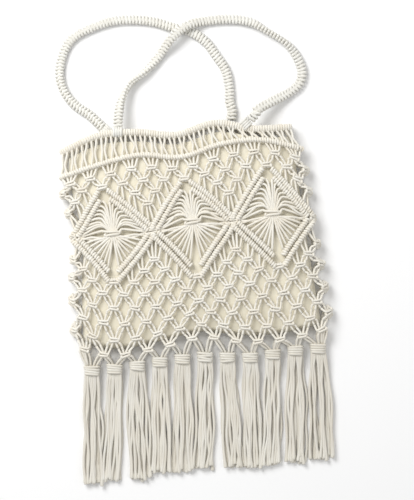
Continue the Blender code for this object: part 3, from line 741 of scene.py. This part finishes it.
# %% Medallions
RAYS = 8
RAY_INSET = 6.6  # from a diamond's side to the ends of its rays, in millimetres
# the two cords that gather the rays; columns: right, down, out
GATHERING_LEFT = (
    (-14.5, -3.6, 0.6),
    (-10.6, -3.2, 1.6),
    (-6.0, -2.3, 3.6),
    (0.0, -1.9, 4.4),
    (6.0, -1.5, 3.6),
    (8.8, 0.0, 1.2),
    (6.0, 1.3, 3.4),
    (0.0, 1.6, 4.4),
    (-6.0, 2.1, 3.4),
    (-10.0, 4.0, 1.2),
    (-14.5, 8.0, 0.4),
)
GATHERING_RIGHT = (
    (14.5, -3.6, 0.6),
    (10.4, -3.4, 1.8),
    (9.0, -1.4, 3.4),
    (8.0, 0.3, 1.2),
    (3.0, 0.4, -1.5),
    (-3.0, 0.4, -1.5),
    (-8.2, 0.2, 1.2),
    (-9.3, 1.8, 3.3),
    (-8.0, 3.4, 1.0),
    (0.0, 4.0, -1.5),
    (8.2, 3.8, 0.4),
    (14.5, 8.0, 0.4),
)


def medallion(centre, side):
    """The rays above and below one knot. Places are in millimetres: right, down and out."""
    runs = []

    def place(u, v, h):
        return on_wall(centre, JOINT_ROW, side, out=h, right=u, down=v)

    origin, right, down, _ = seat(centre, JOINT_ROW, side)

    def flat(point):
        away = (point - origin) / MM
        return np.array((away @ right, away @ down))

    for hand in (-1, 1):
        for i in range(RAYS):
            t = 0.19 + 0.70 * i / (RAYS - 1)
            start = border_place(centre, hand, True, t, RAY_INSET)
            tip = flat(on_wall(*start, side))
            layer = -0.8 if i % 2 else 1.3
            bundle = hand * (0.7 + 4.6 * i / RAYS)
            rise = 3.0 + 6.5 * i / (RAYS - 1) + rng.gauss(0, 0.6)
            high, near = min(tip[1] * 0.80, -2.0), min(tip[1] * 0.42, -4.0)
            path = [
                on_wall(*start, side, out=0.0),
                place(tip[0] * 0.80, tip[1] * 0.97 - rise * 0.35, 1.0),
                place(tip[0] * 0.47 + bundle * 0.1, high - rise * 0.75, 2.0 + layer * 0.3),
                place(tip[0] * 0.20 + bundle * 0.5, near - rise * 0.45, 2.2 + layer * 0.5),
                place(bundle, -2.6, layer + 0.6),
                place(bundle * 0.85, 0.0, layer),
            ]
            runs.append(flowing(path, CORD_RADIUS * rng.uniform(0.92, 1.0)))
            t = 0.24 + 0.64 * i / (RAYS - 1)
            foot = border_place(centre, hand, False, t, RAY_INSET)
            tip = flat(on_wall(*foot, side))
            sag = 1.0 + 4.5 * i / (RAYS - 1) + rng.gauss(0, 0.7)
            path = [
                place(bundle * 0.85, 0.0, layer),
                place(bundle * 1.05, 3.6, layer + 0.3),
                place(tip[0] * 0.30 + bundle * 0.5, max(tip[1] * 0.42, 5.0), 1.6 + layer * 0.4),
                place(tip[0] * 0.68 + bundle * 0.1, tip[1] * 0.74 - sag * 0.1, rng.uniform(0.8, 1.8)),
                on_wall(*foot, side, out=0.0),
            ]
            runs.append(flowing(path, CORD_RADIUS * rng.uniform(0.92, 1.0)))
    for hand, bar in zip((-1, 1), (GATHERING_LEFT, GATHERING_RIGHT)):
        top = border_place(centre, hand, True, 0.93, 6.0)
        foot = border_place(centre, hand, False, 0.93, 6.0)
        path = [on_wall(*top, side, out=0.2)] + [place(*p) for p in bar] + [on_wall(*foot, side, out=0.2)]
        runs.append(flowing(path, CORD_RADIUS * 1.05))
    return runs


for side in (FRONT, BACK):
    for i, centre in enumerate(DIAMOND_COLUMNS):
        cord_piece(f"{side}_medallion_{i + 1}", medallion(centre, side), knot_cotton)

# %% [markdown]
# ## Handles
# Each handle is a flat sennit: one cord hitched over and over round a core. Every hitch shows as a
# rib across the strap, and the row of small loops where the hitches lock makes a groove along it.
# The strap rolls over a little where it turns, which the table's last column gives.

# %% Handles
# columns: across, as a share of the bag's width; up, as a share of the reach; turn, in quarter turns
BACK_HANDLE_ENDS = (2.05, 8.30)
BACK_HANDLE = (
    (-0.424, 0.162, 0.0),
    (-0.482, 0.243, 0.1),
    (-0.521, 0.342, 0.3),
    (-0.540, 0.443, 0.3),
    (-0.543, 0.533, 0.1),
    (-0.531, 0.654, 0.0),
    (-0.497, 0.784, 0.0),
    (-0.424, 0.874, 0.0),
    (-0.327, 0.940, 0.0),
    (-0.240, 0.950, 0.0),
    (-0.157, 0.930, 0.0),
    (-0.085, 0.884, 0.0),
    (-0.012, 0.844, 0.0),
    (0.046, 0.764, 0.0),
    (0.085, 0.654, 0.0),
    (0.124, 0.533, 0.0),
    (0.139, 0.383, 0.0),
    (0.141, 0.263, 0.0),
)
FRONT_HANDLE_ENDS = (2.48, 8.95)
FRONT_HANDLE = (
    (-0.293, 0.263, 0.5),
    (-0.259, 0.403, 1.0),
    (-0.201, 0.513, 0.6),
    (-0.152, 0.623, 0.2),
    (-0.104, 0.756, 0.0),
    (-0.060, 0.851, 0.0),
    (-0.012, 0.911, 0.0),
    (0.061, 0.944, 0.0),
    (0.138, 0.953, 0.0),
    (0.191, 0.945, 0.1),
    (0.240, 0.916, 0.4),
    (0.286, 0.858, 0.8),
    (0.344, 0.786, 0.9),
    (0.386, 0.714, 0.5),
    (0.417, 0.612, 0.2),
    (0.432, 0.509, 0.0),
    (0.420, 0.414, 0.0),
    (0.374, 0.335, 0.0),
    (0.310, 0.263, 0.0),
    (0.248, 0.185, 0.0),
)
HANDLE_LEAN = {FRONT: (0.1, 0.7), BACK: (-0.8, 0.0)}
SLOPE = 0.16  # the share of its length in which the front handle comes down to the table
CROSSING_FLAT, CROSSING_SLOPE = 0.011, 0.025
HANDLE_RISE = 0.0012
HANDLE_RINGS = 42
TIED_GAP = 0.9  # millimetres between the band and a strap's end
TIED_RUN = 12  # millimetres that a strap runs straight from its tied end


def mouth_normal(column, side):
    """The direction on the table that points away from the mouth."""
    left, right = max(column - 0.5, FIRST_COLUMN), min(column + 0.5, LAST_COLUMN)
    run = net_point(right, 0.0, side) - net_point(left, 0.0, side)
    return unit(np.array((-run[1], run[0], 0.0)))


def handle_way(side, table, ends):
    """The bends of a handle as floor-plan points and rolls, tied ends included."""
    low = BAND_WIDTH / 2 + TIED_GAP * MM
    way = []
    for column, lean, last in ((ends[0], HANDLE_LEAN[side][0], False), (ends[1], HANDLE_LEAN[side][1], True)):
        normal = mouth_normal(column, side)
        leaning = unit(normal + lean * np.array((normal[1], -normal[0], 0.0)))
        facing = float(leaning @ normal)
        clear = low + HANDLE_WIDTH / 2 * math.sqrt(max(0.0, 1 - facing**2))
        start = net_point(column, 0.0, side) + leaning * (clear / facing)
        pair = [(start, 0.0), (start + leaning * TIED_RUN * MM, 0.0)]
        way.append(pair[::-1] if last else pair)
    mouth = TASSEL_LINE_Y + BAG_HEIGHT
    middle = [
        (np.array((BAG_WIDTH * across, mouth + HANDLE_REACH * up, 0.0)), turn * math.pi / 2)
        for across, up, turn in table
    ]
    return way[0] + middle + way[1]


def handle_plan(side, table, ends, count):
    """Places and rolls at even steps along a handle, and its length."""
    way = handle_way(side, table, ends)
    points = [point for point, _ in way]
    rolls = [roll for _, roll in way]
    lengths = [0.0]
    for a, b in zip(points, points[1:]):
        lengths.append(lengths[-1] + float(np.linalg.norm((b - a)[:2])))
    plan = []
    for i in range(count):
        at = lengths[-1] * i / (count - 1)
        plan.append((smooth(lengths, points, at), smooth(lengths, rolls, at)))
    return plan, lengths[-1]


def support(roll):
    """Half the height of the strap when it is rolled."""
    grow = 1 / math.cos(math.pi / 8)
    heights = []
    for i in range(8):
        angle = 2 * math.pi * i / 8 + math.pi / 8
        a, b = grow * HANDLE_WIDTH / 2 * math.cos(angle), grow * HANDLE_THICK / 2 * math.sin(angle)
        heights.append(abs(a * math.sin(roll) + b * math.cos(roll)))
    return max(heights)


def eased(share):
    """From 0 to 1 with a soft start and stop."""
    share = min(max(share, 0.0), 1.0)
    return share * share * (3 - 2 * share)


def crossing_share():
    """How far along the front handle it crosses the back one."""
    back, _ = handle_plan(BACK, BACK_HANDLE, BACK_HANDLE_ENDS, HANDLE_RINGS)
    front, _ = handle_plan(FRONT, FRONT_HANDLE, FRONT_HANDLE_ENDS, HANDLE_RINGS)
    nearest = []
    for i in range(HANDLE_RINGS // 8, HANDLE_RINGS - HANDLE_RINGS // 8):
        gap = min(float(np.linalg.norm((front[i][0] - point)[:2])) for point, _ in back)
        nearest.append((gap, i / (HANDLE_RINGS - 1)))
    return min(nearest)[1]


RIBS = 100
RIB_HALF_WIDTH, RIB_HALF_THICK, RIB_RADIUS = 4.5, 2.55, 1.75
GROOVE_AT = 1.3
TIE_PLACES = (-4.2, -1.4, 1.4, 4.2)
TIE_LIFT = {FRONT: 4.6, BACK: 3.4}
TIE_REACH, TIE_RADIUS = 5.4, 1.55
HANDLE_CORE_RADIUS = 3.0


def handle_hitches(side, table, ends):
    """One handle: a core, a ring of cord for each hitch, and the ties over the mouth band."""
    count = 2 * RIBS
    plan, length = handle_plan(side, table, ends, count)
    crossing = crossing_share()
    print(side, "handle is", round(length, 3), "m long")
    tied_height = net_point(ends[0], 0.0, FRONT)[2] - HANDLE_THICK / 2
    centres = []
    for i, (centre, roll) in enumerate(plan):
        centre = centre.copy()
        centre[2] = support(roll)
        if side == FRONT:
            share = i / (count - 1)
            centre[2] += tied_height * eased(1 - min(share, 1 - share) / SLOPE)
            away = length * abs(share - crossing) - CROSSING_FLAT
            centre[2] += (HANDLE_THICK + HANDLE_RISE) * eased(1 - away / CROSSING_SLOPE)
        centres.append(centre)
    centres = np.array(centres)
    runs = [flowing(centres[::4], HANDLE_CORE_RADIUS, per=1)]
    for k in range(1, count - 1, 2):
        along = unit(centres[k + 1] - centres[k - 1])
        across = unit(np.cross(along, (0.0, 0.0, 1.0)))
        up = np.cross(across, along)
        roll = plan[k][1]
        wide = across * math.cos(roll) + up * math.sin(roll)
        tall = up * math.cos(roll) - across * math.sin(roll)
        points = []
        for angle in np.radians(np.linspace(0, 360, 15)):
            u = RIB_HALF_WIDTH * math.copysign(abs(math.cos(angle)) ** 0.75, math.cos(angle))
            v = RIB_HALF_THICK * math.copysign(abs(math.sin(angle)) ** 0.75, math.sin(angle))
            groove = math.exp(-((u - GROOVE_AT) ** 2))
            v *= 1 - 0.30 * groove
            slant = 0.5 * u / RIB_HALF_WIDTH + 0.9 * groove
            points.append(centres[k] + MM * (wide * u + tall * v + along * slant))
        runs.append(flowing(points, RIB_RADIUS * rng.uniform(0.95, 1.05), per=1))
    for last, first in ((0, 1), (count - 1, count - 2)):
        tie = centres[last]
        out_way = unit((centres[first] - tie) * (1, 1, 0))  # on the table, away from the mouth
        across = np.array((-out_way[1], out_way[0], 0.0))
        band = tie - out_way * (BAND_WIDTH / 2 + TIED_GAP * MM)
        for u in TIE_PLACES:
            points = []
            for angle in np.radians(np.linspace(-40, 220, 9)):
                reach = TIE_REACH * math.cos(angle)
                lift = TIE_LIFT[side] * math.sin(angle)
                points.append(band + MM * (across * u + out_way * reach + np.array((0, 0, 1.0)) * lift))
            runs.append(flowing(points, TIE_RADIUS, per=1))
    return runs


HANDLES = ((BACK, BACK_HANDLE, BACK_HANDLE_ENDS), (FRONT, FRONT_HANDLE, FRONT_HANDLE_ENDS))
for side, table, ends in HANDLES:
    runs = handle_hitches(side, table, ends)
    cord_piece(f"{side}_handle_hitches", runs, handle_cotton, [f"{side}_handle"])

# %% [markdown]
# ## Tassels
# The cords of both walls meet in a gathering knot: four turns of a wrapping cord round the bunch.
# Below it the cords are free, and here they lie on the table in two layers. Each is a tube with a
# few bends of its own, which opens out a little at its cut end.

# %% Tassels
# columns: foot_shift, a share of PITCH; length, a share of TASSEL_LENGTH; left and right foot, in millimetres
TASSELS = (
    (0.15, 1.000, 14.5, 13.5),
    (-0.22, 0.985, 13.5, 13.5),
    (0.18, 1.000, 13.5, 13.5),
    (0.06, 0.975, 13.5, 13.5),
    (0.05, 0.995, 13.5, 13.5),
    (-0.10, 0.980, 13.5, 13.5),
    (0.34, 0.970, 13.5, 13.5),
    (0.12, 0.970, 13.5, 13.5),
    (-0.10, 0.975, 13.5, 13.5),
    (0.04, 0.985, 13.5, 13.5),
    (0.12, 0.975, 13.5, 17.0),
)
CORDS_BELOW, CORDS_ABOVE = 11, 10
FRINGE_RADIUS = 1.62  # slack cord is thicker than a tight one
CORD_SHARES = (0.0, 0.05, 0.10, 0.17, 0.26, 0.36, 0.46, 0.56, 0.66, 0.76, 0.86, 0.94, 0.98, 1.0)
TIP_SWELLING = {0.94: 1.15, 0.98: 1.4, 1.0: 1.25}
WRAP_PLACES = (-4.3, -1.5, 1.4, 4.2)


def tassel_foot(index):
    """The middle of a tassel's lower end on the table."""
    shift, length = TASSELS[index][:2]
    return tassel_knot(index) + np.array((shift * PITCH, -length * TASSEL_LENGTH, 0.0))


def tassel(index):
    """One tassel: two layers of loose cords, and the wraps of its gathering knot."""
    knot, foot = tassel_knot(index), tassel_foot(index)
    feet = [tassel_foot(i)[0] * 1000 for i in range(len(TASSELS))]
    left, right = TASSELS[index][2:]
    if index:
        left = min(left, (feet[index] - feet[index - 1]) / 2 + 1.2)
    if index + 1 < len(feet):
        right = min(right, (feet[index + 1] - feet[index]) / 2 + 1.2)
    lean = 0.35 * math.atan2(foot[0] - knot[0], knot[1] - foot[1])
    across = np.array((math.cos(lean), math.sin(lean), 0.0))
    down = np.array((math.sin(lean), -math.cos(lean), 0.0))
    up = np.array((0.0, 0.0, 1.0))
    runs = []
    for layer, count in ((0, CORDS_BELOW), (1, CORDS_ABOVE)):
        order = [(k + 0.5) / count for k in range(count)]
        for share in order:
            end_share = min(max(share + rng.gauss(0, 0.10), 0.03), 0.97)
            x_top = -8.0 + 16.0 * share
            x_foot = -left + 1.4 + (left + right - 2.8) * end_share
            z_top = 4.6 if layer == 0 else 9.8
            z_low = 1.5 if layer == 0 else 4.4 + 1.4 * rng.random()
            sway = rng.gauss(0, 1.6)
            beats, phase, wide = rng.uniform(7, 15), rng.uniform(0, 6.28), rng.uniform(0.5, 1.7)
            ragged = rng.gauss(0, 1.4)
            points, radii = [], []
            for t in CORD_SHARES:
                middle = knot + (foot - knot) * t
                spread = 1 - (1 - t) ** 2.6
                x = x_top * (1 - spread) + x_foot * spread
                x += (sway * math.sin(math.pi * t) + wide * math.sin(beats * t + phase)) * min(1, 5 * t)
                z = z_low + (z_top - z_low) * (1 - eased(t / 0.3))
                point = middle + MM * across * x + MM * up * z
                point = point + MM * down * (ragged * t - 6.0 * (t == 0.0))
                points.append(point)
                radii.append(FRINGE_RADIUS * TIP_SWELLING.get(t, 1.0))
            runs.append(flowing(points, radii, per=2))
    for turn, v in enumerate(WRAP_PLACES):
        points = []
        slant = rng.gauss(0.3, 0.5)
        for angle in np.radians(np.linspace(0, 360, 17)):
            u = (8.9 - 0.3 * turn) * math.copysign(abs(math.cos(angle)) ** 0.6, math.cos(angle))
            h = 7.3 + 5.8 * math.copysign(abs(math.sin(angle)) ** 0.7, math.sin(angle))
            points.append(knot + MM * (across * u + down * (v + slant * u / 8.6) + up * h))
        runs.append(flowing(points, 1.6, per=1))
    return runs


for index in range(len(TASSELS)):
    number = f"{index + 1:02d}"
    cord_piece(f"tassel_{number}_cords", tassel(index), fringe_cotton_painted_shade, [f"tassel_{number}"])

# %% [markdown]
# ## Lining
# A plain cotton pouch keeps small things in. It is one rectangle of cloth folded at the foot and
# sewn up the sides, so it starts here as one flat grid, and the grid is folded over and laid
# between the two walls. A Solidify modifier gives the cloth its thickness.

# %% Lining
LINING_FIRST, LINING_LAST = -0.05, 11.05
LINING_TOP_DOWN = 11.0  # millimetres below the mouth
LINING_FOOT_ROW = 17.6
LINING_CLEAR = 0.0014


def lining_point(share, fold):
    """A point of the pouch: share runs from side to side, fold from -1 at the front edge to 1 at the back."""
    column = LINING_FIRST + (LINING_LAST - LINING_FIRST) * share
    drop = (net_point(column, 0.0, FRONT) - net_point(column, 2.0, FRONT))[1]
    top = LINING_TOP_DOWN * MM / drop * 2.0
    row = LINING_FOOT_ROW + (top - LINING_FOOT_ROW) * abs(fold)
    front = net_point(column, row, FRONT)
    back = net_point(column, row, BACK)
    low = back[2] + NET_WALL / 2 + LINING_CLEAR
    high = front[2] - NET_WALL / 2 - LINING_CLEAR
    middle = (low + high) / 2
    close = min(1.0, 12 * min(share, 1 - share)) ** 0.5 * min(1.0, 9 * abs(fold)) ** 0.5
    ripple = 0.0005 * math.sin(31 * share + 9 * fold) * math.sin(7 * fold + 4 * share)
    point = front.copy()
    point[2] = middle + ((high if fold < 0 else low) - middle) * close + ripple * close
    return point


cloth = bmesh.new()
uv_layer = cloth.loops.layers.uv.new("UVMap")
bmesh.ops.create_grid(cloth, x_segments=48, y_segments=90, size=0.5)
flat_places = {vert: (vert.co.x + 0.5, vert.co.y * 2) for vert in cloth.verts}
LINING_WIDTH, LINING_LENGTH = 0.288, 0.500
for face in cloth.faces:
    for corner in face.loops:
        share, fold = flat_places[corner.vert]
        corner[uv_layer].uv = (share * LINING_WIDTH, fold * LINING_LENGTH / 2)
for vert, (share, fold) in flat_places.items():
    vert.co = lining_point(share, fold)
lining_mesh = bpy.data.meshes.new("lining_pouch")
cloth.to_mesh(lining_mesh)
area = sum(face.calc_area() for face in cloth.faces)
cloth.free()
lining_mesh.shade_smooth()
lining_mesh.materials.append(lining_cotton)
lining = bpy.data.objects.new("lining_pouch", lining_mesh)
bpy.context.scene.collection.objects.link(lining)
thickness = lining.modifiers.new("cloth", "SOLIDIFY")
thickness.thickness = 0.0008
thickness.offset = 0.0
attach(lining, "root")
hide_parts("lining")
print("lining area", round(area, 4), "flat", LINING_WIDTH * LINING_LENGTH)

# %% [markdown]
# ## Floor and light
# The table is plain and nearly white. One broad soft light hangs above the far end and a weaker one
# on the other side, so shadows stay short and pale, and the sky fills them in.

# %% Floor and light
floor_mesh = bmesh.new()
bmesh.ops.create_grid(floor_mesh, x_segments=1, y_segments=1, size=6.0)
floor_data = bpy.data.meshes.new("floor")
floor_mesh.to_mesh(floor_data)
floor_mesh.free()
floor = bpy.data.objects.new("floor", floor_data)
floor.location.z = -0.0004
bpy.context.scene.collection.objects.link(floor)
paper, tree = new_material("matt_white_card")
shader = add(tree, "ShaderNodeBsdfPrincipled", [("Base Color", linear("#fbfbfb")), ("Roughness", 0.95)])
add(tree, "ShaderNodeOutputMaterial", links=[("Surface", shader.outputs["BSDF"])])
floor_data.materials.append(paper)


def soft_light(name, place, size, power):
    """A round area light that looks at the bag. size is in metres and power in watts."""
    light = bpy.data.lights.new(name, "AREA")
    light.shape = "DISK"
    light.size = size
    light.energy = power
    holder = bpy.data.objects.new(name, light)
    holder.location = place
    holder.rotation_euler = (-Vector(place)).to_track_quat("-Z", "Y").to_euler()
    bpy.context.scene.collection.objects.link(holder)


soft_light("key_light", (-0.8, 0.9, 1.4), 1.0, 26)
soft_light("fill_light", (1.2, -0.4, 1.5), 1.4, 4)
world = bpy.data.worlds.new("studio")
world.use_nodes = True
world.node_tree.nodes["Background"].inputs["Color"].default_value = (1.0, 1.0, 1.0, 1.0)
world.node_tree.nodes["Background"].inputs["Strength"].default_value = 0.5
bpy.context.scene.world = world
bpy.context.scene.view_settings.view_transform = "Standard"
print("floor and lights set")
